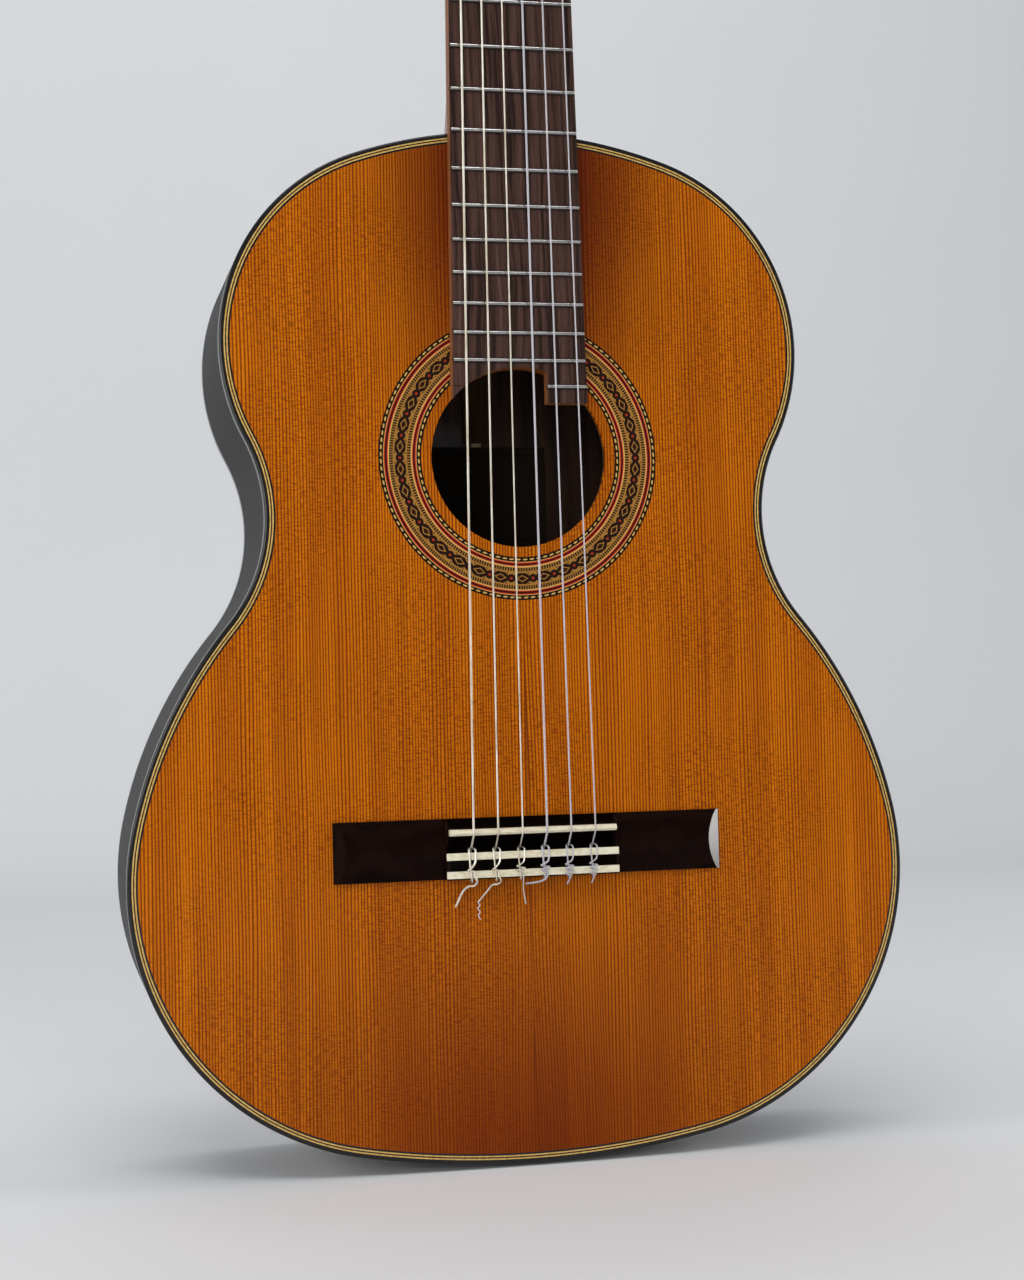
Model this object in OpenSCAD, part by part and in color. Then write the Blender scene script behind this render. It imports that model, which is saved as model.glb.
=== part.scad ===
// Classical guitar, modelled upright: +Z runs up the neck, -Y is the front, +X the treble side.
// The origin is on the centre line at the scale zero (the nut's lower face) in the soundboard's plane.

/* [Scale and fretboard] */
// Vibrating string length from nut to nominal saddle line
scale_length = 650; // [640:1:660]
// Number of frets; the last one is a short fret on the treble side
fret_count = 20; // [19:1:20]
// Width of the fretboard at the nut
nut_width = 52; // [50:0.5:54]
// Width of the fretboard at the twelfth fret
twelfth_width = 61; // [60:0.5:62]
// Thickness of the fretboard
board_t = 6.5; // [6:0.5:7]

/* [Body outline, as arcs from the tail to the neck] */
// Radius and angle of the tail arc
tail_r = 436; // [420:1:460]
tail_a = 10.8; // [10:0.1:12]
// Radius and angle of the lower bout's corner arc
bout_r = 128; // [126:0.5:130]
bout_a = 91.7; // [91:0.1:92]
// Radius and angle of the lower bout's upper flank
flank_r = 217; // [214:1:224]
flank_a = 27.1; // [26.5:0.1:27.5]
// Radius and angle of the waist, which curves inwards
waist_r = 78; // [76:0.5:80]
waist_a = 66.9; // [66.5:0.1:67.2]
// Radius and angle of the upper bout
upper_r = 95; // [94:0.5:96]
upper_a = 98.4; // [98:0.1:98.8]
// Depth of the body over the soundboard and back
body_depth = 97; // [94:0.5:100]

/* [Plates and edges] */
// Thickness of the soundboard
top_t = 2.4; // [2.2:0.1:2.8]
// Thickness of the back
back_t = 2.6; // [2.4:0.1:3]
// Thickness of the ribs and of the binding
rib_t = 2.2; // [2:0.1:2.4]
// Width of the banded purfling inside the top binding
purfling_w = 2.8; // [2.4:0.1:3.2]
// Height of the binding strips
binding_h = 5.5; // [5:0.5:6]

/* [Sound hole and rosette] */
// Radius of the sound hole
hole_r = 42; // [41:0.5:43]
// Distance from the nut to the sound hole's centre
hole_z = 478; // [476:0.5:480]
// Inner and outer radius of the rosette
rosette_in = 46.8; // [46:0.2:48]
rosette_out = 67; // [66:0.5:68]

/* [Bridge] */
// Length and width of the bridge
bridge_l = 185; // [180:1:190]
bridge_w = 28; // [27:0.5:29]
// Length of its raised middle
bridge_mid = 82; // [80:1:84]
// String spread at the saddle and at the nut, outer string to outer string
saddle_spread = 58; // [56:0.5:60]
nut_spread = 43; // [42:0.5:44]

/* [Head and tuners] */
// Angle that the head leans back
head_tilt = 13; // [12:0.5:15]
// Width of the head across the tuner plates
head_w = 73; // [72:1:75]
// Thickness of the head's core
head_t = 18; // [17:0.5:19]
// Spacing of the rollers
roller_pitch = 35; // [34:0.5:36]
// Number of teeth on a worm wheel
gear_teeth = 14; // [12:1:16]

/* [Hidden] */
$fn = 48;

// Colours
cedar = [0.72, 0.38, 0.10];
rosewood = [0.20, 0.11, 0.08];
mahogany = [0.50, 0.26, 0.13];
spruce = [0.85, 0.70, 0.48];
bone = [0.93, 0.90, 0.80];
ebony = [0.05, 0.04, 0.04];
brass = [0.80, 0.62, 0.28];
pearl = [0.92, 0.90, 0.84];
paper = [0.86, 0.80, 0.62];
nickel = [0.78, 0.78, 0.76];

// ---------- Body outline ----------
neck_joint_z = -scale_length / 2;
heel_half = twelfth_width / 2;
shoulder_a = 180 - tail_a - bout_a - flank_a + waist_a - upper_a;
arc_list = [[tail_r, tail_a], [bout_r, bout_a], [flank_r, flank_a], [-waist_r, waist_a], [upper_r, upper_a]];

// Heading at the start of arc i, and the position there, counted from the tail
function heading(i) = i == 0 ? 0 : heading(i - 1) + sign(arc_list[i - 1][0]) * arc_list[i - 1][1];
function along(r, h) = [r * sin(h), -r * cos(h)];
function arc_start(i) = i == 0 ? [0, 0]
    : arc_start(i - 1) + along(arc_list[i - 1][0], heading(i)) - along(arc_list[i - 1][0], heading(i - 1));

// The shoulder arc closes the outline on the centre line, and a flat under the heel cuts it off
shoulder_start = arc_start(5);
shoulder_r = shoulder_start[0] / sin(shoulder_a);
flat_drop = shoulder_r - sqrt(pow(shoulder_r, 2) - pow(heel_half, 2));
outline_h = shoulder_start[1] + shoulder_r * (1 - cos(shoulder_a)) - flat_drop;
tail_z = neck_joint_z - outline_h;

arc_step = 2.4;
function arc_points(start, r, h0, a, inset) =
    let (rr = r - inset, n = max(3, ceil(abs(a) * abs(r) / 180 * PI / 5)), c = start - along(r, h0))
    [for (k = [1 : n]) c + along(rr, h0 + sign(r) * a * k / n)];
function shoulder_points(inset) =
    let (h = heading(4) + upper_a, reach = shoulder_r - flat_drop - inset,
        last = acos(reach / (shoulder_r - inset)))
    arc_points(shoulder_start, shoulder_r, h, shoulder_a - last, inset);

// Half of the outline, from the tail up the treble side, inset by a parallel distance
function half_outline(inset) = concat(
    [[0, tail_z + inset]],
    [for (i = [0 : 4]) for (p = arc_points(arc_start(i), arc_list[i][0], heading(i), arc_list[i][1], inset))
        p + [0, tail_z]],
    [for (p = shoulder_points(inset)) p + [0, tail_z]],
    [[0, neck_joint_z - inset]]);

// side is 1 for the treble half and -1 for the bass half
module half_face(inset, side) {
    mirror([side < 0 ? 1 : 0, 0]) polygon(half_outline(inset));
}
module full_face(inset) {
    pts = half_outline(inset);
    polygon(concat(pts, [for (i = [len(pts) - 2 : -1 : 1]) [-pts[i][0], pts[i][1]]]));
}
// A face drawn in X and Z becomes a slab from y0 to y1
module slab(y0, y1) {
    translate([0, y1, 0]) rotate([90, 0, 0]) linear_extrude(y1 - y0) children();
}
module edge_ring(outer, inner, y0, y1) {
    slab(y0, y1) difference() {
        full_face(outer);
        full_face(inner);
    }
}

purfling_in = rib_t + purfling_w;
patch_w = 14;
rosette_t = 1.2;

module soundboard_half(side) {
    color(cedar) difference() {
        slab(0, top_t) half_face(purfling_in, side);
        translate([0, -1, -hole_z]) rotate([-90, 0, 0]) cylinder(r = hole_r, h = top_t + 2, $fn = 96);
        translate([0, 0, -hole_z]) rotate([90, 0, 0]) translate([0, 0, -rosette_t])
            rotate_extrude($fn = 96) translate([rosette_in, 0]) square([rosette_out - rosette_in, 3]);
    }
}
module rosette() {
    color("goldenrod") translate([0, 0, -hole_z]) rotate([90, 0, 0]) translate([0, 0, -rosette_t])
        rotate_extrude($fn = 96) translate([rosette_in, 0]) square([rosette_out - rosette_in, rosette_t]);
}
module top_binding() { color(ebony) edge_ring(0, rib_t, 0, binding_h); }
module top_purfling() { color("khaki") edge_ring(rib_t, purfling_in, 0, top_t); }
module back_binding() { color(ebony) edge_ring(0, rib_t, body_depth - binding_h, body_depth); }

strip_w = 5;
back_in = body_depth - back_t;
module back_half(side) {
    color(rosewood) slab(back_in, body_depth) intersection() {
        half_face(rib_t, side);
        translate([side > 0 ? strip_w / 2 : -strip_w / 2 - 300, tail_z]) square([300, outline_h]);
    }
}
module back_centre_strip() {
    color(spruce) slab(back_in, body_depth) intersection() {
        full_face(rib_t);
        translate([-strip_w / 2, tail_z]) square([strip_w, outline_h]);
    }
}

// The ribs stop at the tail strip below and at the heel's core above
tail_strip_half = 6;
heel_core_half = 13;
module rib(side) {
    color(rosewood) slab(binding_h, body_depth - binding_h) difference() {
        half_face(0, side);
        half_face(rib_t, side);
        translate([-tail_strip_half, tail_z - 1]) square([2 * tail_strip_half, 20]);
        translate([-heel_core_half, neck_joint_z - 10]) square([2 * heel_core_half, 20]);
    }
}
module tail_strip() {
    color(ebony) slab(binding_h, body_depth - binding_h) intersection() {
        difference() {
            full_face(0);
            full_face(rib_t);
        }
        translate([-tail_strip_half, tail_z - 1]) square([2 * tail_strip_half, 20]);
    }
}

// ---------- Inside the body ----------
lining_w = 5.5;
lining_h = 14;
foot_half = heel_half - 1;
tail_block_half = 35;
tail_block_d = 12;
foot_len = 24;
slipper_len = 60;
module lining_ring(y0, y1) {
    slab(y0, y1) difference() {
        full_face(rib_t);
        full_face(rib_t + lining_w);
        translate([-tail_block_half, tail_z - 1]) square([2 * tail_block_half, 40]);
        translate([-foot_half, neck_joint_z - 40]) square([2 * foot_half, 60]);
    }
}
module linings() {
    color(spruce) lining_ring(top_t, top_t + lining_h);
    color(spruce) lining_ring(back_in - lining_h, back_in);
}
module end_blocks() {
    color(mahogany) slab(top_t, back_in) intersection() {
        full_face(rib_t);
        translate([-tail_block_half, tail_z]) square([2 * tail_block_half, tail_block_d + 4]);
    }
    // The neck's foot: a core through the gap in the ribs, the block inside and its slipper
    color(mahogany) translate([-heel_core_half, binding_h, neck_joint_z - rib_t])
        cube([2 * heel_core_half, body_depth - 2 * binding_h, rib_t]);
    color(mahogany) translate([-foot_half, top_t, neck_joint_z - rib_t - foot_len])
        cube([2 * foot_half, back_in - top_t, foot_len]);
    color(mahogany) translate([-foot_half, top_t, neck_joint_z - rib_t - foot_len - slipper_len])
        cube([2 * foot_half, 7, slipper_len]);
}
module sound_hole_patch() {
    color(spruce) difference() {
        translate([0, top_t, -hole_z]) rotate([-90, 0, 0]) cylinder(r = hole_r + patch_w, h = 1.6, $fn = 96);
        translate([0, top_t - 1, -hole_z]) rotate([-90, 0, 0]) cylinder(r = hole_r, h = 4, $fn = 96);
        translate([-80, top_t - 1, -hole_z + hole_r + 1]) cube([160, 4, 40]);
        translate([-80, top_t - 1, -hole_z - hole_r - 41]) cube([160, 4, 40]);
    }
}
// One strut with sloped ends, lying along +Z from the origin, its foot on the plane y = 0
module strut(length, width, height, scoop) {
    translate([-width / 2, 0, 0]) rotate([90, 0, 90]) linear_extrude(width)
        polygon([[0, 0], [height, scoop], [height, length - scoop], [0, length]]);
}
fan_count = 7;
fan_top_z = -556;
module fan_braces() {
    for (i = [-(fan_count - 1) / 2 : (fan_count - 1) / 2])
        color(spruce) translate([i * 33, top_t, fan_top_z]) rotate([0, 180 - i * 4.2, 0])
            strut(196 - 7 * pow(abs(i), 1.6), 5, 4, 22);
}
bar_w = 7;
bar_h = 17;
module cross_bar(z, half, y, height, dir) {
    color(spruce) translate([-half, y, z]) rotate([0, 90, 0]) scale([1, dir, 1])
        strut(2 * half, bar_w, height, 34);
}
module harmonic_bars() {
    cross_bar(-hole_z + hole_r + 8, 126, top_t, bar_h, 1);
    cross_bar(-hole_z - hole_r - 9, 112, top_t, bar_h, 1);
}
module back_braces() {
    for (b = [[-400, 124], [-520, 110], [-665, 174]])
        color(spruce) translate([-b[1], back_in, b[0]]) mirror([0, 1, 0]) rotate([0, 90, 0])
            strut(2 * b[1], bar_w, bar_h, 34);
}
module back_seam_strip() {
    gap = bar_w / 2;
    for (s = [[-775, -665 - gap], [-665 + gap, -520 - gap], [-459, -400 - gap]])
        color(spruce) translate([-7, back_in - 1.8, s[0]]) cube([14, 1.8, s[1] - s[0]]);
}
module paper_label() {
    color(paper) translate([-36, back_in - 0.3, -513]) cube([72, 0.3, 52]);
}

// ---------- Lofted shapes ----------
// Skins a closed polyhedron over equal rings of points
module loft(rings) {
    m = len(rings);
    n = len(rings[0]);
    polyhedron(
        points = [for (r = rings) for (p = r) p],
        faces = concat(
            [[for (j = [0 : n - 1]) j]],
            [for (i = [0 : m - 2]) for (j = [0 : n - 1])
                [i * n + j, (i + 1) * n + j, (i + 1) * n + (j + 1) % n, i * n + (j + 1) % n]],
            [[for (j = [n - 1 : -1 : 0]) (m - 1) * n + j]]),
        convexity = 6);
}
function power(v, e) = sign(v) * pow(abs(v), e);

// ---------- Neck ----------
nut_h = 8.3;
nut_t = 5;
neck_d_nut = 15;
neck_d_joint = 17.5;
head_back_d = head_t / cos(head_tilt);
neck_sides = 28;
over = 3;
function board_half(z) = (nut_width + (twelfth_width - nut_width) * z / neck_joint_z) / 2;
// Back curve of the neck: square_share 0 is a soft D and 1 is nearly a rectangle
function neck_ring(z, depth, square_share) =
    let (e = 0.86 - 0.72 * square_share, w = board_half(min(z, 0)))
    [for (k = [0 : neck_sides]) let (a = 180 * k / neck_sides)
        [w * power(cos(a), e), max(0, depth * power(sin(a), e)), z]];
neck_stations = [[neck_joint_z - over, neck_d_joint, 0], [-160, 16.2, 0], [-30, neck_d_nut, 0],
    [-18, 15.6, 0.2], [-9, 16.6, 0.5], [-2, 17.6, 0.8], [nut_t, head_back_d, 1]];
module neck_loft() {
    loft([for (s = neck_stations) neck_ring(s[0], s[1], s[2])]);
}
// The shaft and the stacked heel blocks are cut from one shape: the joint is a step behind the fretboard
step_y = 12;
step_z = -232;
module neck_and_heel() {
    neck_loft();
    heel_loft(1, heel_end, 14);
}
module heel_blocks() {
    translate([-60, step_y, neck_joint_z - 20]) cube([120, 120, step_z - neck_joint_z + 20]);
}
module above_joint() {
    translate([-60, -20, neck_joint_z]) cube([120, 200, 400]);
}
module neck_shaft() {
    color(mahogany) difference() {
        intersection() {
            neck_and_heel();
            above_joint();
        }
        heel_blocks();
    }
}

heel_cap_t = 3;
heel_end = body_depth - heel_cap_t;
// The heel is lofted along Y: half width and reach up the neck at each depth
function heel_section(y) =
    let (t = max(0, (y - 1) / (body_depth - 1)),
        half = (heel_half - 0.2) * (1 - 0.56 * pow(t, 1.15)),
        reach = 15 + 62 * pow(1 - t, 5) + 12 * (1 - t))
    [half, reach];
function heel_arch(y) = let (s = heel_section(y))
    [for (k = [1 : 19]) let (a = 180 * k / 20)
        [s[0] * power(cos(a), 0.8), y, neck_joint_z + s[1] * power(sin(a), 0.8)]];
// The arch closes below the joint's plane, which then cuts it off flat
function heel_ring(y) = let (half = heel_section(y)[0])
    concat([[half, y, neck_joint_z - over]], heel_arch(y), [[-half, y, neck_joint_z - over]]);
module heel_loft(y0, y1, steps) {
    loft([for (i = [0 : steps]) heel_ring(y1 + (y0 - y1) * i / steps)]);
}
module heel() {
    color(mahogany) intersection() {
        neck_and_heel();
        heel_blocks();
        above_joint();
    }
}
module heel_cap() {
    color(rosewood) slab(heel_end, body_depth)
        polygon(concat([[heel_section(heel_end)[0], neck_joint_z]], [for (p = heel_arch(heel_end)) [p[0], p[2]]],
            [[-heel_section(heel_end)[0], neck_joint_z]]));
}

// ---------- Fretboard ----------
board_end_z = -453;
step_x = 13;
function fret_z(n) = -scale_length * (1 - pow(2, -n / 12));
module fingerboard() {
    color(rosewood) difference() {
        slab(-board_t, 0) difference() {
            polygon([[-board_half(0), 0], [board_half(0), 0],
                [board_half(board_end_z), board_end_z], [-board_half(board_end_z), board_end_z]]);
            intersection() {
                translate([0, -hole_z]) circle(r = hole_r, $fn = 96);
                translate([-2 * hole_r, board_end_z - 1]) square([2 * hole_r + step_x, 60]);
            }
        }
        for (n = [1 : fret_count])
            translate([-40, -board_t - 1, fret_z(n) - fret_tang / 2]) cube([80, 1 + fret_depth, fret_tang]);
    }
}
fret_crown = 1.15;
fret_tang = 0.6;
fret_depth = 1.8;
// A fret lies along X from x0 to x1: a round crown on a thin tang let into the board
module fret(z, x0, x1) {
    color(nickel) translate([x0, -board_t, z]) {
        intersection() {
            rotate([0, 90, 0]) cylinder(r = fret_crown, h = x1 - x0, $fn = 24);
            translate([0, -2, -2]) cube([x1 - x0, 2, 4]);
        }
        translate([0, 0, -fret_tang / 2]) cube([x1 - x0, fret_depth - 0.1, fret_tang]);
    }
}
module frets() {
    for (n = [1 : fret_count])
        fret(fret_z(n), n == 20 ? step_x : -board_half(fret_z(n)) + 0.4, board_half(fret_z(n)) - 0.4);
}
module nut() {
    color(bone) slab_x(nut_width) polygon([[0, 0], [-nut_h, 0], [-nut_h + 0.8, nut_t], [0, nut_t]]);
}
// A profile drawn in Y and Z becomes a bar centred on the middle plane
module slab_x(width) {
    translate([-width / 2, 0, 0]) rotate([90, 0, 90]) linear_extrude(width) children();
}

// ---------- Bridge ----------
bridge_front = -646;
bridge_back = bridge_front - bridge_w;
saddle_z = -652.2;
saddle_t = 2.8;
saddle_top = 11.6;
saddle_len = 79;
tie_front = bridge_front - 15.6;
tie_back = bridge_back + 0.7;
tie_h = 8.4;
tie_hole_y = -4.4;
wing_crown = 4.6;
wing_r = 36;
inlay_w = 3.3;
inlay_t = 0.9;
string_sides = [-5 / 2, -3 / 2, -1 / 2, 1 / 2, 3 / 2, 5 / 2];
function saddle_x(i) = string_sides[i] * saddle_spread / 5;
function nut_x(i) = string_sides[i] * nut_spread / 5;

module bridge() {
    color(rosewood) difference() {
        union() {
            // Crowned wings with a sloping facet at each end
            difference() {
                intersection() {
                    translate([-bridge_l / 2, -wing_crown, bridge_back]) cube([bridge_l, wing_crown, bridge_w]);
                    translate([-bridge_l / 2 - 1, wing_r - wing_crown, (bridge_front + bridge_back) / 2])
                        rotate([0, 90, 0]) cylinder(r = wing_r, h = bridge_l + 2, $fn = 180);
                }
                for (m = [0, 1]) mirror([m, 0, 0])
                    translate([bridge_l / 2, -1, bridge_back - 1]) rotate([0, 0, 31])
                        translate([-30, -20, 0]) cube([60, 20, bridge_w + 2]);
            }
            // Saddle block, sloping up to the saddle, and the tie block behind the valley
            slab_x(bridge_mid) polygon([[0, bridge_front], [-3.4, bridge_front], [-6.6, bridge_front - 4],
                [-6.6, saddle_z - 2.4], [-3.8, tie_front + 2], [-3.8, tie_front],
                [-tie_h, tie_front], [-tie_h, tie_back], [-7, bridge_back], [0, bridge_back]]);
        }
        translate([-saddle_len / 2, -12, saddle_z - saddle_t / 2]) cube([saddle_len, 9, saddle_t]);
        for (i = [0 : 5])
            translate([saddle_x(i), tie_hole_y, tie_front + 1]) rotate([180, 0, 0])
                cylinder(r = 0.95, h = bridge_w, $fn = 16);
        for (z = [tie_front - inlay_w, tie_back])
            translate([-bridge_mid / 2 - 1, -tie_h - 1, z]) cube([bridge_mid + 2, 1 + inlay_t, inlay_w]);
    }
}
module tie_block_inlays() {
    for (z = [tie_front - inlay_w, tie_back])
        color(bone) translate([-bridge_mid / 2, -tie_h, z]) cube([bridge_mid, inlay_t, inlay_w]);
}
module saddle() {
    color(bone) translate([0, 0, saddle_z]) slab_x(saddle_len)
        polygon([[-3, -saddle_t / 2], [-3, saddle_t / 2], [-saddle_top + 1, saddle_t / 2],
            [-saddle_top, 0.4], [-saddle_top, -0.4], [-saddle_top + 1, -saddle_t / 2]]);
}

// ---------- Head ----------
head_len = 182;
web_half = 9;
slot_w = 15;
slot_start = 14;
slot_end = 122;
roller_y = 8;
first_roller = 30;
shoulder_z = 12;
crest_z = 160;
module in_head() {
    translate([0, 0, nut_t]) rotate([-head_tilt, 0, 0]) children();
}
function crest(x) = crest_z + 13 * cos(180 * x / head_w) + 5 * cos(3 * 360 * x / head_w / 1.15);
module head_face() {
    polygon(concat(
        [[-nut_width / 2, -8], [nut_width / 2, -8], [nut_width / 2, 2]],
        [for (k = [1 : 8]) let (a = 90 * k / 8) [nut_width / 2 + (head_w - nut_width) / 2 * (1 - cos(a)),
            2 + (shoulder_z - 2) * sin(a)]],
        [for (k = [0 : 24]) let (x = head_w / 2 - head_w * k / 24) [x, crest(x)]],
        [for (k = [8 : -1 : 1]) let (a = 90 * k / 8) [-nut_width / 2 - (head_w - nut_width) / 2 * (1 - cos(a)),
            2 + (shoulder_z - 2) * sin(a)]],
        [[-nut_width / 2, 2]]));
}
module head_slots() {
    for (s = [-1, 1])
        translate([s * (web_half + slot_w / 2) - slot_w / 2, -10, slot_start])
            cube([slot_w, 40, slot_end - slot_start]);
}
module above_nut() {
    translate([-100, -50, nut_t]) cube([200, 200, 300]);
}
roller_r = 5;
spindle_r = 3;
function roller_z(k) = first_roller + roller_pitch * k;
screw_places = [12, 47.5, 82.5, 121];
plate_t = 1.3;
module headstock() {
    color(mahogany) intersection() {
        above_nut();
        in_head() difference() {
            slab(0, head_t) head_face();
            head_slots();
            for (k = [0 : 2]) for (s = [-1, 1]) translate([0, roller_y, roller_z(k)]) {
                rotate([0, s * 90, 0]) translate([0, 0, 3]) cylinder(r = spindle_r + 0.1, h = 10, $fn = 32);
                rotate([0, s * 90, 0]) translate([0, 0, 20]) cylinder(r = roller_r + 0.15, h = 30, $fn = 48);
            }
            for (z = screw_places) for (s = [-1, 1]) translate([0, 14.5, z])
                rotate([0, s * 90, 0]) translate([0, 0, head_w / 2 - 9]) cylinder(r = 1.1, h = 12, $fn = 16);
        }
    }
}
head_plate_t = 2.5;
module head_plate() {
    color(rosewood) intersection() {
        above_nut();
        in_head() difference() {
            slab(-head_plate_t, 0) head_face();
            head_slots();
        }
    }
}

// ---------- Tuning machines ----------
// Local frame of tuner k on the treble side: the roller's axis is X through the origin
gear_module = 0.65;
gear_pitch_r = gear_module * gear_teeth / 2;
gear_tip_r = gear_pitch_r + 0.38;
gear_root_r = gear_pitch_r - 0.7;
gear_w = 2;
worm_r = 2.1;
worm_e = 0.5;
worm_len = 9;
worm_pitch = PI * gear_module;
worm_z = -(gear_pitch_r + worm_r + 0.04);
plate_x = head_w / 2;
worm_x = plate_x + plate_t + worm_r + worm_e + 0.4;
shaft_r = 1.5;
lug_y = 6.6;
lug_w = 1.7;
shaft_end = 12;
button_len = 16;

// side is 1 for the treble plate and -1 for the bass plate; k counts rollers from the nut
module at_tuner(k, side) {
    in_head() mirror([side < 0 ? 1 : 0, 0, 0]) translate([0, roller_y, roller_z(k)]) children();
}
module tuner_plate(side) {
    color(brass) in_head() mirror([side < 0 ? 1 : 0, 0, 0]) difference() {
        union() {
            translate([plate_x, 1, 6]) cube([plate_t, 16, 120]);
            for (k = [0 : 2]) for (y = [-lug_y, lug_y])
                translate([plate_x, roller_y + y - lug_w / 2, roller_z(k) + worm_z]) {
                    translate([0.2, 0, -2.6]) cube([worm_x - plate_x - 0.2, lug_w, 5.2]);
                    translate([worm_x - plate_x, 0, 0]) rotate([-90, 0, 0])
                        cylinder(r = 2.6, h = lug_w, $fn = 32);
                }
        }
        for (k = [0 : 2]) {
            translate([plate_x - 1, roller_y, roller_z(k)]) rotate([0, 90, 0])
                cylinder(r = spindle_r + 0.1, h = 4, $fn = 32);
            translate([worm_x, roller_y - 12, roller_z(k) + worm_z]) rotate([-90, 0, 0])
                cylinder(r = shaft_r + 0.08, h = 24, $fn = 32);
        }
        for (z = screw_places) translate([plate_x - 1, 14.5, z]) rotate([0, 90, 0])
            cylinder(r = 1.3, h = 4, $fn = 16);
    }
}
module tuner_plate_screws() {
    for (z = screw_places) for (s = [-1, 1])
        color(brass) in_head() translate([0, 14.5, z]) rotate([0, s * 90, 0]) {
            translate([0, 0, plate_x - 8]) cylinder(r = 1, h = 8 + plate_t + 0.2, $fn = 16);
            translate([0, 0, plate_x + plate_t]) cylinder(r1 = 2.1, r2 = 1.4, h = 1, $fn = 24);
        }
}
// The worm is a round bar turned off its axis, so every lengthwise section is a wavy rack
module worm(k, side) {
    turns = worm_len / worm_pitch;
    color(brass) at_tuner(k, side) translate([worm_x, 0, worm_z]) rotate([-90, 0, 0]) {
        translate([0, 0, -worm_len / 2]) rotate([0, 0, 90 + turns * 180])
            linear_extrude(worm_len, twist = turns * 360, slices = 44, $fn = 16)
                translate([worm_e, 0]) circle(r = worm_r, $fn = 16);
        for (s = [[-lug_y - 1.6, -worm_len / 2 + 0.01], [worm_len / 2 - 0.01, shaft_end]])
            translate([0, 0, s[0]]) cylinder(r = shaft_r, h = s[1] - s[0], $fn = 24);
    }
}
module button(k, side) {
    color(pearl) at_tuner(k, side) translate([worm_x, shaft_end, worm_z]) rotate([-90, 0, 0])
        intersection() {
            rotate_extrude($fn = 40) polygon([[0, 0], [3.2, 0], [4.6, 2.4], [6.6, 5], [7.2, 8.5],
                [6.6, 12.5], [4.6, 15], [2, button_len], [0, button_len]]);
            translate([-4.2, -10, -1]) cube([8.4, 20, button_len + 2]);
        }
}
wind_x = [18.5, 15.5, 14];
module roller(k, side) {
    color(bone) at_tuner(k, side) difference() {
        rotate([0, 90, 0]) union() {
            translate([0, 0, 3.6]) cylinder(r = spindle_r, h = web_half + 0.5 - 3.6, $fn = 32);
            translate([0, 0, web_half + 0.4]) cylinder(r = roller_r, h = plate_x - web_half - 0.8, $fn = 48);
            translate([0, 0, plate_x - 0.5]) cylinder(r = spindle_r, h = worm_x - gear_w / 2 - plate_x + 0.5,
                $fn = 32);
        }
        translate([wind_x[k], 0, -10]) cylinder(r = 0.9, h = 20, $fn = 16);
    }
}
function tooth(i) = let (a = 360 * i / gear_teeth - 90, root = 0.23 * 360 / gear_teeth,
        tip = 0.085 * 360 / gear_teeth)
    [for (s = [[-root, gear_root_r], [-tip, gear_tip_r], [tip, gear_tip_r], [root, gear_root_r]])
        s[1] * [cos(a + s[0]), sin(a + s[0])]];
module gear(k, side) {
    color(brass) at_tuner(k, side) translate([worm_x - gear_w / 2, 0, 0]) rotate([90, 0, 90]) {
        linear_extrude(gear_w) polygon([for (i = [0 : gear_teeth - 1]) for (p = tooth(i)) p]);
        translate([0, 0, gear_w]) cylinder(r1 = 2.4, r2 = 1.6, h = 1.1, $fn = 32);
    }
}

// ---------- Strings ----------
// Radii from the treble E to the bass E
string_r = [0.36, 0.41, 0.51, 0.38, 0.46, 0.55];
tube_sides = 8;
function unit(v) = v / norm(v);
function tangent(p, i) = unit(unit(p[min(i + 1, len(p) - 1)] - p[max(i, 0) == len(p) - 1 ? i - 1 : i])
    + unit(p[i == 0 ? 1 : i] - p[i == 0 ? 0 : i - 1]));
module cord(points, r) {
    loft([for (i = [0 : len(points) - 1])
        let (t = tangent(points, i), u = unit(cross(t, [1, 0, 0])), v = cross(t, u))
        [for (j = [0 : tube_sides - 1]) let (a = 360 * j / tube_sides)
            points[i] + r * (cos(a) * u + sin(a) * v)]]);
}
function in_head_point(p) = [p[0], p[1] * cos(head_tilt) + p[2] * sin(head_tilt),
    nut_t - p[1] * sin(head_tilt) + p[2] * cos(head_tilt)];
// number counts 1 to 6 from the treble side; the middle strings run to the furthest rollers
module guitar_string(number) {
    i = 6 - number;
    side = number <= 3 ? 1 : -1;
    k = number <= 3 ? number - 1 : 6 - number;
    r = string_r[number - 1];
    touch = [side * wind_x[k], roller_y - roller_r - r - 0.1, roller_z(k) - 1];
    cord([[saddle_x(i), tie_hole_y, bridge_back - 0.5], [saddle_x(i), tie_hole_y, tie_front + 0.6],
        [saddle_x(i), -saddle_top - r, saddle_z - 0.5], [saddle_x(i), -saddle_top - r, saddle_z + 0.5],
        [nut_x(i), -nut_h - r - 0.05, 0], [nut_x(i), -nut_h - r + 0.6, nut_t],
        in_head_point(touch)], r);
}
module nylon_strings() { for (n = [1 : 3]) color([0.85, 0.83, 0.80]) guitar_string(n); }
module wound_strings() { for (n = [4 : 6]) color(nickel) guitar_string(n); }

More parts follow.
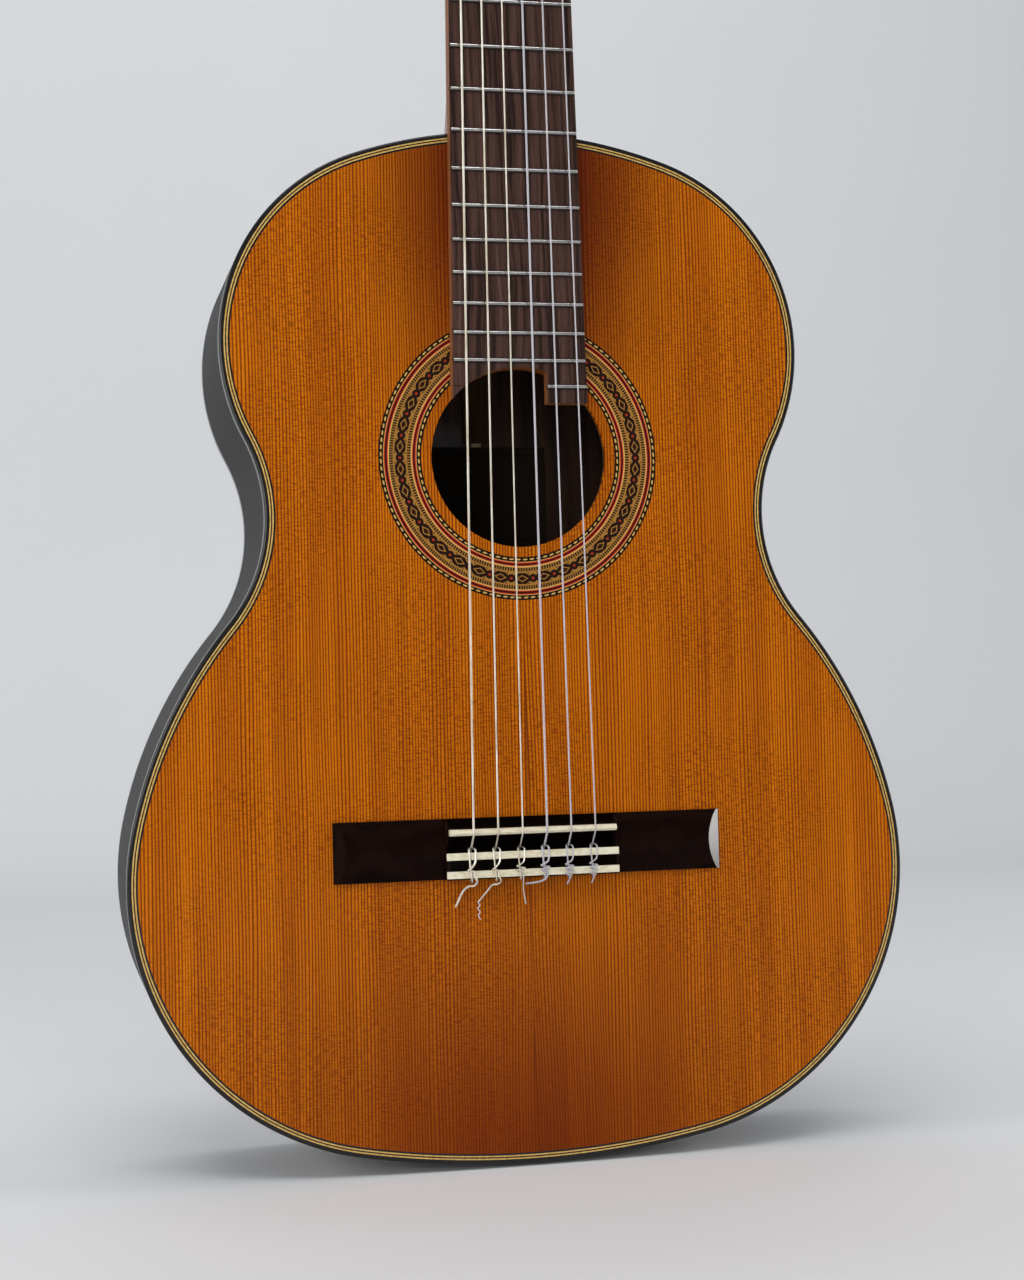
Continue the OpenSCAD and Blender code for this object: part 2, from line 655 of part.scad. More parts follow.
// ---------- Nodes ----------
// Tuners 1 to 3 go up the treble plate and 6 to 4 up the bass plate
soundboard_half(-1);  // soundboard_bass_half
soundboard_half(1);  // soundboard_treble_half
back_half(-1);  // back_bass_half
back_half(1);  // back_treble_half
back_centre_strip();
rib(-1);  // rib_bass
rib(1);  // rib_treble
tail_strip();
top_binding();
top_purfling();
back_binding();
rosette();
sound_hole_patch();
fan_braces();
harmonic_bars();
back_braces();
back_seam_strip();
linings();
end_blocks();
paper_label();
neck_shaft();
heel();
heel_cap();
headstock();
head_plate();
fingerboard();
frets();
nut();
bridge();
saddle();
tie_block_inlays();
nylon_strings();
wound_strings();
tuner_plate(-1);  // tuner_plate_bass
tuner_plate(1);  // tuner_plate_treble
tuner_plate_screws();
worm(0, 1);  // worm_1
worm(1, 1);  // worm_2
worm(2, 1);  // worm_3
worm(2, -1);  // worm_4
worm(1, -1);  // worm_5
worm(0, -1);  // worm_6
button(0, 1);  // button_1
button(1, 1);  // button_2
button(2, 1);  // button_3
button(2, -1);  // button_4
button(1, -1);  // button_5
button(0, -1);  // button_6
roller(0, 1);  // roller_1
roller(1, 1);  // roller_2
roller(2, 1);  // roller_3
roller(2, -1);  // roller_4
roller(1, -1);  // roller_5
roller(0, -1);  // roller_6
gear(0, 1);  // gear_1
gear(1, 1);  // gear_2
gear(2, 1);  // gear_3
gear(2, -1);  // gear_4
gear(1, -1);  // gear_5
gear(0, -1);  // gear_6
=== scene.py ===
import math

import bmesh
import bpy
from mathutils import Matrix, Vector


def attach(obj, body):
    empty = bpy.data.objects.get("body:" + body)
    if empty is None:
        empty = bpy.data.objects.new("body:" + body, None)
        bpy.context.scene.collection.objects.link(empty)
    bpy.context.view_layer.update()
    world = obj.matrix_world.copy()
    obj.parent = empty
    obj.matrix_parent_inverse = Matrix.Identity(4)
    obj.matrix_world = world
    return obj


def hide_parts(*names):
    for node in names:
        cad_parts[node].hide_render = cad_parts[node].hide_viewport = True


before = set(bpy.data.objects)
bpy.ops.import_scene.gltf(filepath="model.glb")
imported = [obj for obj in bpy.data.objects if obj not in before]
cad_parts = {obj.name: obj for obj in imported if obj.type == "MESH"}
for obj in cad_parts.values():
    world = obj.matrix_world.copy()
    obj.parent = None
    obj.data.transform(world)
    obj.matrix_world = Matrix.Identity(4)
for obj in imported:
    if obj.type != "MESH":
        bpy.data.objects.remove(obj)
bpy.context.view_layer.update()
MM = 0.001

# ---------------------------------------------------------------- sizes, in millimetres as in the CAD
TAIL = (436, 10.8)
BOUT = (128, 91.7)
FLANK = (217, 27.1)
WAIST = (-78, 66.9)
UPPER = (95, 98.4)
ARCS = (TAIL, BOUT, FLANK, WAIST, UPPER)
SCALE = 650
# Radians of the cedar's growth lines in a millimetre
GRAIN_WAVE = 4.3
# The rosette's chain: its middle radius, how many links go round and the length of one
CHAIN_R = 56.9
CHAIN_LINKS = 34.0
LINK_LENGTH = 10.5
JOINT_Z = -SCALE / 2
HEEL_HALF = 30.5
NUT_HALF = 26
BODY_D = 97
RIB_T = 2.2
BIND_H = 5.5
HOLE_Z = 478
# The label's printed border lies between these distances from its middle
LABEL_Z = 487.0
LABEL_X_IN, LABEL_X_OUT = 31.5, 32.3
LABEL_Z_IN, LABEL_Z_OUT = 21.5, 22.3
BRIDGE_FRONT = -646
BRIDGE_W = 28
BRIDGE_BACK = BRIDGE_FRONT - BRIDGE_W
BRIDGE_L = 185
BRIDGE_MID = 82
WING_CROWN = 4.6
WING_R = 36
TIE_FRONT = BRIDGE_FRONT - 15.6
TIE_BACK = BRIDGE_BACK + 0.7
TIE_H = 8.4
TIE_HOLE_Y = -4.4
SADDLE_Z = -652.2
SADDLE_TOP = 11.6
SADDLE_T = 2.8
SADDLE_LEN = 79
INLAY_W = 3.3
INLAY_T = 0.9
NUT_H = 8.3
NUT_T = 5
SADDLE_SPREAD = 58
NUT_SPREAD = 43
HEAD_TILT = math.radians(13)
HEAD_W = 73
ROLLER_Y = 8
ROLLER_R = 5
FIRST_ROLLER = 30
ROLLER_PITCH = 35
WIND_X = (18.5, 15.5, 14)
STRING_R = (0.36, 0.41, 0.51, 0.38, 0.46, 0.55)
WORM_X = HEAD_W / 2 + 1.3 + 2.1 + 0.5 + 0.4
WORM_Z = -(0.65 * 14 / 2 + 2.1 + 0.04)
SHAFT_END = 12


# ---------------------------------------------------------------- mesh helpers
def piece(name, verts, faces, material, body="guitar", replaces=(), sharp=35):
    """A mesh piece from points in millimetres, smooth except at edges sharper than the angle."""
    me = bpy.data.meshes.new(name)
    me.from_pydata([(v[0] * MM, v[1] * MM, v[2] * MM) for v in verts], [], faces)
    bm = bmesh.new()
    bm.from_mesh(me)
    bmesh.ops.remove_doubles(bm, verts=bm.verts, dist=1e-7)
    bmesh.ops.recalc_face_normals(bm, faces=bm.faces)
    limit = math.radians(sharp)
    for f in bm.faces:
        f.smooth = True
    for e in bm.edges:
        if len(e.link_faces) == 2:
            e.smooth = e.calc_face_angle(0) < limit
    bm.to_mesh(me)
    bm.free()
    o = bpy.data.objects.new(name, me)
    bpy.context.scene.collection.objects.link(o)
    me.materials.append(material)
    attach(o, body)
    if replaces:
        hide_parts(*replaces)
    return o


def grid_faces(rows, cols, wrap_rows=False, wrap_cols=False, start=0):
    faces = []
    for i in range(rows if wrap_rows else rows - 1):
        for j in range(cols if wrap_cols else cols - 1):
            a = start + i * cols + j
            b = start + i * cols + (j + 1) % cols
            c = start + ((i + 1) % rows) * cols + (j + 1) % cols
            d = start + ((i + 1) % rows) * cols + j
            faces.append((a, b, c, d))
    return faces


def loft(rings):
    n = len(rings[0])
    verts = [p for r in rings for p in r]
    faces = grid_faces(len(rings), n, wrap_cols=True)
    faces.append(tuple(range(n - 1, -1, -1)))
    faces.append(tuple((len(rings) - 1) * n + j for j in range(n)))
    return verts, faces


def tube(points, radius, sides=12, ends=True):
    """A round tube along a list of points; radius may be one number or one for each point."""
    pts = [Vector(p) for p in points]
    n = len(pts)
    rad = radius if isinstance(radius, (list, tuple)) else [radius] * n
    t0 = (pts[1] - pts[0]).normalized()
    u = t0.cross(Vector((1, 0, 0)))
    if u.length < 0.2:
        u = t0.cross(Vector((0, 1, 0)))
    u.normalize()
    rings = []
    for i in range(n):
        a = pts[max(i - 1, 0)]
        b = pts[min(i + 1, n - 1)]
        t = (b - a).normalized()
        u = (u - t * u.dot(t)).normalized()
        v = t.cross(u)
        rings.append([pts[i] + rad[i] * (math.cos(2 * math.pi * k / sides) * u
                                         + math.sin(2 * math.pi * k / sides) * v)
                      for k in range(sides)])
    return loft(rings)


def smooth_path(points, per=8):
    """Catmull-Rom through the points."""
    p = [Vector(q) for q in points]
    p = [p[0] + (p[0] - p[1])] + p + [p[-1] + (p[-1] - p[-2])]
    out = []
    for i in range(1, len(p) - 2):
        for k in range(per):
            t = k / per
            out.append(0.5 * ((2 * p[i]) + (p[i + 1] - p[i - 1]) * t
                              + (2 * p[i - 1] - 5 * p[i] + 4 * p[i + 1] - p[i + 2]) * t * t
                              + (3 * p[i] - p[i - 1] - 3 * p[i + 1] + p[i + 2]) * t ** 3))
    out.append(p[-2])
    return out


def join(parts):
    verts, faces = [], []
    for v, f in parts:
        base = len(verts)
        verts += list(v)
        faces += [tuple(i + base for i in q) for q in f]
    return verts, faces


# ---------------------------------------------------------------- body outline
def outline_numbers():
    x = z = h = 0.0
    for r, a in ARCS:
        h0 = math.radians(h)
        h += a if r > 0 else -a
        h1 = math.radians(h)
        x, z = x + r * (math.sin(h1) - math.sin(h0)), z - r * (math.cos(h1) - math.cos(h0))
    left = 180 - h
    r = x / math.sin(math.radians(left))
    drop = r - math.sqrt(r * r - HEEL_HALF ** 2)
    return r, left, drop, z + r * (1 - math.cos(math.radians(left))) - drop


SHOULDER_R, SHOULDER_A, DROP, BODY_H = outline_numbers()
TAIL_Z = JOINT_Z - BODY_H


def half_outline(inset, x_start=0.0, x_end=0.0, step=2.0):
    """The treble half of the body's outline from the tail up, set in by a parallel distance."""
    pts = []
    x = z = h = 0.0
    arcs = list(ARCS)
    last = math.degrees(math.acos((SHOULDER_R - DROP - inset) / (SHOULDER_R - inset)))
    arcs.append((SHOULDER_R, SHOULDER_A - last))
    first = math.degrees(math.asin(x_start / (TAIL[0] - inset)))
    for i, (r, a) in enumerate(arcs):
        sign = 1 if r > 0 else -1
        full = SHOULDER_A if i == 5 else a
        h0 = math.radians(h)
        cx, cz = x - r * math.sin(h0), z + r * math.cos(h0)
        n = max(3, math.ceil(abs(r) * math.radians(full) / step))
        a0 = first if i == 0 else 0.0
        for k in range(0 if i == 0 else 1, n + 1):
            hh = math.radians(h + sign * (a0 + (a - a0) * k / n))
            rr = r - inset
            pts.append((cx + rr * math.sin(hh), TAIL_Z + cz - rr * math.cos(hh)))
        h += sign * a
        h1 = math.radians(h)
        x, z = cx + r * math.sin(h1), cz - r * math.cos(h1)
    edge = pts[-1][0]
    for k in range(1, 7):
        pts.append((edge + (x_end - edge) * k / 6, JOINT_Z - inset))
    return pts


def edge_ring(profile, side=0, x_start=0.0, x_end=0.0):
    """Sweeps a closed profile of (inset, depth) points round the body; side 0 is all the way round."""
    columns = []
    for inset, depth in profile:
        half = half_outline(inset, x_start, x_end)
        if side:
            ring = [(side * p[0], depth, p[1]) for p in half]
        else:
            ring = [(p[0], depth, p[1]) for p in half] + [(-p[0], depth, p[1]) for p in half[-2:0:-1]]
        columns.append(ring)
    m = len(columns[0])
    verts = [columns[j][i] for i in range(m) for j in range(len(profile))]
    faces = grid_faces(m, len(profile), wrap_rows=not side, wrap_cols=True)
    if side:
        faces.append(tuple(range(len(profile))))
        faces.append(tuple((m - 1) * len(profile) + j for j in range(len(profile) - 1, -1, -1)))
    return verts, faces


# ---------------------------------------------------------------- material nodes
class V:
    """A value in a node tree, so that patterns can be written as sums."""
    tree = None

    def __init__(self, socket):
        self.s = socket

    @staticmethod
    def op(kind, *args):
        n = V.tree.nodes.new("ShaderNodeMath")
        n.operation = kind
        for i, a in enumerate(args):
            if isinstance(a, V):
                V.tree.links.new(a.s, n.inputs[i])
            else:
                n.inputs[i].default_value = a
        return V(n.outputs[0])

    def __add__(self, o): return V.op("ADD", self, o)
    def __radd__(self, o): return V.op("ADD", o, self)
    def __sub__(self, o): return V.op("SUBTRACT", self, o)
    def __rsub__(self, o): return V.op("SUBTRACT", o, self)
    def __mul__(self, o): return V.op("MULTIPLY", self, o)
    def __rmul__(self, o): return V.op("MULTIPLY", o, self)
    def __truediv__(self, o): return V.op("DIVIDE", self, o)
    def __lt__(self, o): return V.op("LESS_THAN", self, o)
    def __gt__(self, o): return V.op("GREATER_THAN", self, o)


def absolute(a): return V.op("ABSOLUTE", a)
def fract(a): return V.op("FRACT", a)
def clamp01(a): return V.op("MAXIMUM", V.op("MINIMUM", a, 1.0), 0.0)
def between(a, lo, hi): return (a > lo) * (a < hi)


def ramp01(a, lo, hi):
    n = V.tree.nodes.new("ShaderNodeMapRange")
    n.interpolation_type = "SMOOTHSTEP"
    V.tree.links.new(a.s, n.inputs[0])
    n.inputs[1].default_value = lo
    n.inputs[2].default_value = hi
    return V(n.outputs[0])


def mix(fac, a, b):
    n = V.tree.nodes.new("ShaderNodeMix")
    n.data_type = "RGBA"
    for sock, val in ((n.inputs[0], fac), (n.inputs[6], a), (n.inputs[7], b)):
        if isinstance(val, V):
            V.tree.links.new(val.s, sock)
        elif isinstance(val, (int, float)):
            sock.default_value = val
        else:
            sock.default_value = (*val, 1)
    return V(n.outputs[2])


def xyz():
    n = V.tree.nodes.new("ShaderNodeTexCoord")
    s = V.tree.nodes.new("ShaderNodeSeparateXYZ")
    V.tree.links.new(n.outputs["Object"], s.inputs[0])
    return V(s.outputs[0]) * 1000.0, V(s.outputs[1]) * 1000.0, V(s.outputs[2]) * 1000.0


def vec(x, y, z):
    n = V.tree.nodes.new("ShaderNodeCombineXYZ")
    for i, a in enumerate((x, y, z)):
        if isinstance(a, V):
            V.tree.links.new(a.s, n.inputs[i])
        else:
            n.inputs[i].default_value = a
    return V(n.outputs[0])


def noise(vector, scale=1.0, detail=3.0, rough=0.55):
    n = V.tree.nodes.new("ShaderNodeTexNoise")
    V.tree.links.new(vector.s, n.inputs["Vector"])
    n.inputs["Scale"].default_value = scale
    n.inputs["Detail"].default_value = detail
    n.inputs["Roughness"].default_value = rough
    return V(n.outputs[0])


def material(name, build, metallic=0.0, coat=0.0, coat_rough=0.05, transmission=0.0, ior=1.5, spec=0.5):
    """build returns colour, roughness and a bump height in millimetres (or None)."""
    m = bpy.data.materials.new(name)
    m.use_nodes = True
    V.tree = m.node_tree
    p = m.node_tree.nodes["Principled BSDF"]
    p.inputs["Metallic"].default_value = metallic
    p.inputs["Coat Weight"].default_value = coat
    p.inputs["Coat Roughness"].default_value = coat_rough
    p.inputs["Transmission Weight"].default_value = transmission
    p.inputs["IOR"].default_value = ior
    p.inputs["Specular IOR Level"].default_value = spec
    colour, rough, height = build()
    V.tree.links.new(colour.s, p.inputs["Base Color"])
    V.tree.links.new(rough.s, p.inputs["Roughness"])
    if height is not None:
        b = V.tree.nodes.new("ShaderNodeBump")
        b.inputs["Strength"].default_value = 1.0
        b.inputs["Distance"].default_value = 0.001
        V.tree.links.new(height.s, b.inputs["Height"])
        V.tree.links.new(b.outputs[0], p.inputs["Normal"])
    return m


def cedar():
    x, y, z = xyz()
    sway = noise(vec(x * 0.006, y * 0.02, z * 0.003), 1.0, 2.0) * 7.0
    ax = absolute(x) + sway
    # Growth lines a little over a millimetre apart, drawn as waves whose spacing wanders
    wander = noise(vec(ax * 0.045, 2.0, z * 0.0015), 1.0, 3.0) * 34.0
    line = V.op("SINE", ax * GRAIN_WAVE + wander)
    strength = noise(vec(ax * 0.30, 7.0, z * 0.004), 1.0, 3.0, 0.65)
    lines = ramp01(line, -0.25, 0.80) * ramp01(strength, 0.14, 0.48)
    fine = noise(vec(ax * 0.75, 0.0, z * 0.008), 1.0, 3.0, 0.7)
    broad = noise(vec(ax * 0.09, 3.0, z * 0.003), 1.0, 3.0)
    # Short ripples of silk cross the grain in patches
    silk_where = 0.35 + 0.65 * ramp01(noise(vec(x * 0.014, 0.0, z * 0.014), 1.0, 2.0), 0.36, 0.60)
    ripple = noise(vec(x * 0.07, 0.0, z * 0.05), 1.0, 2.0) * 7.0
    silk = noise(vec(x * 0.26 + 9.0, 0.0, z * 1.30 + ripple), 1.0, 2.0, 0.6)
    speck = noise(vec(x * 1.5, 0.0, z * 0.9), 1.0, 2.0, 0.7)
    dark = (0.150, 0.022, 0.0008)
    colour = mix(ramp01(broad, 0.34, 0.66), (0.54, 0.136, 0.0008), (0.66, 0.178, 0.0012))
    colour = mix(lines * 0.88, colour, dark)
    colour = mix(ramp01(fine, 0.50, 0.74) * 0.34, colour, dark)
    colour = mix(ramp01(silk, 0.44, 0.62) * silk_where * 0.58, colour, dark)
    colour = mix(ramp01(speck, 0.50, 0.72) * 0.30, colour, dark)
    # Painted shade beside the fretboard and at the tail, and a slow change from board to board
    painted_neck_shade = (1.0 - ramp01(absolute(x - 4.0), 22.0, 92.0)) * ramp01(z, -500.0, -350.0)
    painted_tail_shade = (1.0 - ramp01(absolute(x + 6.0), 10.0, 165.0)) * (1.0 - ramp01(z, -810.0, -640.0))
    colour = mix(painted_neck_shade * 0.92, colour, (0.085, 0.008, 0.0008))
    colour = mix(painted_tail_shade * 0.84, colour, (0.130, 0.015, 0.0008))
    streak = between(x, 0.0, 15.0) * (1.0 - ramp01(z, -810.0, -690.0))
    colour = mix(streak * 0.22, colour, (0.10, 0.016, 0.001))
    colour = mix((absolute(x) < 0.22) * 0.5, colour, (0.10, 0.02, 0.002))
    rough = 0.42 + fine * 0.16
    height = lines * 0.010 + noise(vec(x * 0.02, 0.0, z * 0.02), 1.0, 2.0) * 0.10
    return colour, rough, height


def dark_wood(dark, mid, light, pores=1.0, across="x", spread=1.0):
    def build():
        x, y, z = xyz()
        a = x if across == "x" else (y if across == "y" else x + y)
        warp = noise(vec(x * 0.02, y * 0.02, z * 0.006), 1.0, 3.0) * 14.0
        bands = noise(vec((a + warp) * 0.35 * spread, 0.0, z * 0.008), 1.0, 4.0, 0.62)
        fine = noise(vec(x * 3.0, y * 3.0, z * 0.11), 1.0, 3.0, 0.6)
        pore = ramp01(noise(vec(x * 5.0, y * 5.0, z * 0.30 + 4.0), 1.0, 2.0, 0.5), 0.60, 0.70)
        colour = mix(ramp01(bands, 0.36, 0.56), dark, mid)
        colour = mix(ramp01(bands, 0.58, 0.72) * 0.8, colour, light)
        colour = mix(ramp01(fine, 0.45, 0.75) * 0.30, colour, dark)
        colour = mix(pore * 0.55 * pores, colour, tuple(c * 0.35 for c in dark))
        rough = 0.34 + fine * 0.22 + pore * 0.15 * pores
        return colour, rough, pore * (-0.03 * pores) + fine * 0.008
    return build


def fretboard_wood():
    colour, rough, height = dark_wood(
        (0.014, 0.006, 0.004), (0.072, 0.034, 0.026), (0.150, 0.080, 0.062), 1.2, "x", 1.1)()
    x, y, z = xyz()
    # The long sides are painted a warm colour, a painted reflection
    side = ramp01(y, -6.45, -6.1)
    colour = mix(side * 0.75, colour, (0.26, 0.095, 0.030))
    worn = clamp01(1.0 - ramp01(absolute(x), 18.0, 27.0))
    return colour, rough + 0.06 + worn * 0.05, height


def pale_wood(base, dark):
    def build():
        x, y, z = xyz()
        g = noise(vec(x * 0.9, y * 0.9, z * 0.03), 1.0, 4.0, 0.6)
        s = noise(vec(x * 0.1, y * 0.1, z * 0.1), 1.0, 2.0)
        colour = mix(ramp01(g, 0.42, 0.68) * 0.7, base, dark)
        colour = mix(s * 0.25, colour, dark)
        return colour, 0.55 + g * 0.2, g * 0.02
    return build


def gloss_black():
    x, y, z = xyz()
    n = noise(vec(x * 0.2, y * 0.2, z * 0.2), 1.0, 3.0)
    f = noise(vec(x * 2.0, y * 2.0, z * 2.0), 1.0, 2.0)
    return mix(n, (0.004, 0.004, 0.004), (0.014, 0.011, 0.010)), 0.16 + f * 0.10, n * 0.05 + f * 0.003


def purfling_yellow():
    x, y, z = xyz()
    n = noise(vec(x * 0.6, y * 0.6, z * 0.6), 1.0, 3.0)
    return mix(ramp01(n, 0.35, 0.7), (0.66, 0.44, 0.13), (0.46, 0.26, 0.06)), 0.30 + n * 0.12, n * 0.01


def bone():
    x, y, z = xyz()
    n = noise(vec(x * 0.35, y * 0.8, z * 0.8), 1.0, 4.0)
    f = noise(vec(x * 3.0, y * 6.0, z * 6.0), 1.0, 2.0)
    colour = mix(ramp01(n, 0.4, 0.7), (0.80, 0.75, 0.58), (0.66, 0.58, 0.38))
    colour = mix(ramp01(f, 0.6, 0.8) * 0.25, colour, (0.50, 0.42, 0.28))
    return colour, 0.28 + f * 0.18, f * 0.01


def metal(base, tarnish, lo=0.14, grain=(2.0, 2.0, 2.0)):
    def build():
        x, y, z = xyz()
        n = noise(vec(x * 0.15, y * 0.15, z * 0.15), 1.0, 3.0)
        f = noise(vec(x * grain[0], y * grain[1], z * grain[2]), 1.0, 3.0, 0.7)
        return mix(ramp01(n, 0.4, 0.75) * 0.6, base, tarnish), lo + f * 0.18 + n * 0.06, f * 0.004
    return build


def fret_wire():
    """Polished along the crown, duller towards the foot and darkened there by painted shade; frets stand at the
    semitones of the scale.
    """
    colour, rough, height = metal((0.62, 0.60, 0.58), (0.40, 0.38, 0.35), 0.06, (0.3, 4.0, 4.0))()
    x, y, z = xyz()
    left = z / float(SCALE) + 1.0
    semitone = V.op("LOGARITHM", left, 2.0) * 12.0
    off = absolute(fract(semitone + 0.5) - 0.5) * left * (float(SCALE) * math.log(2) / 12)
    # Painted shade down the sides of the crown to the foot
    painted_flank_shade = ramp01(off, 0.30, 0.70)
    return mix(painted_flank_shade * 0.92, colour, (0.045, 0.038, 0.034)), rough + painted_flank_shade * 0.25, height


def nylon():
    x, y, z = xyz()
    n = noise(vec(x * 0.5, y * 0.5, z * 0.04), 1.0, 2.0)
    return mix(n, (0.72, 0.70, 0.74), (0.55, 0.53, 0.57)), 0.14 + n * 0.14, n * 0.01


def wound_wire():
    x, y, z = xyz()
    turns = absolute(fract((z + y * 0.8) / 0.42) - 0.5)
    n = noise(vec(x * 0.3, y * 0.3, z * 0.05), 1.0, 3.0)
    colour = mix(ramp01(n, 0.4, 0.7), (0.80, 0.76, 0.66), (0.58, 0.51, 0.38))
    # The grooves between the turns of wire are darkened: painted shade
    colour = mix(ramp01(turns, 0.34, 0.5) * 0.5, colour, (0.16, 0.13, 0.10))
    return colour, 0.24 + n * 0.16, (0.5 - turns) * 0.10


def pearloid():
    x, y, z = xyz()
    a = noise(vec(x * 0.22, y * 0.22, z * 0.22), 1.0, 4.0, 0.6)
    v = V.tree.nodes.new("ShaderNodeTexVoronoi")
    V.tree.links.new(vec(x * 0.35 + a * 2.0, y * 0.35, z * 0.35).s, v.inputs["Vector"])
    v.inputs["Scale"].default_value = 1.0
    d = V(v.outputs[0])
    colour = mix(ramp01(d, 0.15, 0.75), (0.86, 0.83, 0.74), (0.68, 0.66, 0.60))
    return mix(ramp01(a, 0.45, 0.65) * 0.5, colour, (0.94, 0.93, 0.88)), 0.20 + a * 0.14, d * 0.02


def paper():
    x, y, z = xyz()
    n = noise(vec(x * 0.08, y, z * 0.08), 1.0, 4.0)
    f = noise(vec(x * 2.5, y, z * 2.5), 1.0, 2.0)
    across, up = absolute(x), absolute(z + LABEL_Z)
    frame_line = ((across > LABEL_X_IN) * (across < LABEL_X_OUT) + (up > LABEL_Z_IN) * (up < LABEL_Z_OUT))
    # The paper is painted nearly black: painted shade inside the body
    colour = mix(n, (0.026, 0.019, 0.012), (0.016, 0.011, 0.007))
    inside = (across < LABEL_X_OUT) * (up < LABEL_Z_OUT)
    return mix(clamp01(frame_line) * inside * 0.7, colour, (0.010, 0.007, 0.005)), 0.75 + f * 0.15, f * 0.02


def mosaic():
    """Rings of the rosette by radius, with patterns counted round the hole."""
    x, y, z = xyz()
    dz = z + float(HOLE_Z)
    r = V.op("SQRT", x * x + dz * dz)
    ang = V.op("ARCTAN2", dz, x) / (2 * math.pi)
    black = (0.006, 0.005, 0.004)
    cream = (0.64, 0.40, 0.11)
    tan = (0.36, 0.170, 0.034)
    brown = (0.012, 0.005, 0.004)
    wine = (0.050, 0.004, 0.004)
    red = (0.58, 0.050, 0.022)

    def rope(count, centre, slant):
        """Slim slanting cream stitches on a black ground."""
        stitch = 2 * math.pi * centre / count
        along = (absolute(fract(ang * float(count) + (r - centre) * slant) - 0.5) * stitch) / 1.12
        across = absolute(r - centre) / 0.38
        return along * along + across * across < 1.0

    def ticks(count, inner, outer):
        return (fract(ang * float(count)) < 0.60) * between(r, inner, outer)

    colour = mix(rope(92, 47.95, 0.16), black, cream)
    for edge, tone in ((49.05, cream), (49.3, red), (49.8, wine), (50.75, red), (51.15, cream), (51.7, tan)):
        colour = mix(r > edge, colour, tone)
    colour = mix(ticks(262, 51.85, 53.5), colour, black)
    # The wide band: a dark chain of tan-edged diamonds with a red knot between each pair
    u = absolute(fract(ang * CHAIN_LINKS) - 0.5) * LINK_LENGTH
    w = absolute(r - CHAIN_R)
    knot = V.op("SQRT", (LINK_LENGTH / 2 - u) * (LINK_LENGTH / 2 - u) + w * w)
    band = w < 2.75
    dark_here = clamp01((w + V.op("MAXIMUM", u - 1.8, 0.0) * 0.72 < 2.6) + (knot < 2.0))
    colour = mix(band * dark_here, colour, brown)
    diamond = u / 3.0 + w / 1.65
    colour = mix(band * between(diamond, 0.70, 1.0), colour, tan)
    colour = mix(band * (diamond < 0.20), colour, wine)
    colour = mix(band * (knot < 0.66), colour, (0.34, 0.032, 0.014))
    eye = V.op("SQRT", (3.1 - u) * (3.1 - u) + (w - 2.45) * (w - 2.45))
    colour = mix(band * (eye < 0.36), colour, wine)
    colour = mix(ticks(322, 60.2, 61.95), colour, black)
    for edge, tone in ((62.05, cream), (62.55, red), (62.95, wine), (64.05, red), (64.5, cream),
                       (64.75, black)):
        colour = mix(r > edge, colour, tone)
    colour = mix(rope(124, 65.85, 0.16), colour, cream)
    n = noise(vec(x * 1.5, 0.0, z * 1.5), 1.0, 3.0)
    colour = mix(n * 0.14, colour, (0.10, 0.04, 0.010))
    return colour, 0.30 + n * 0.12, n * 0.02


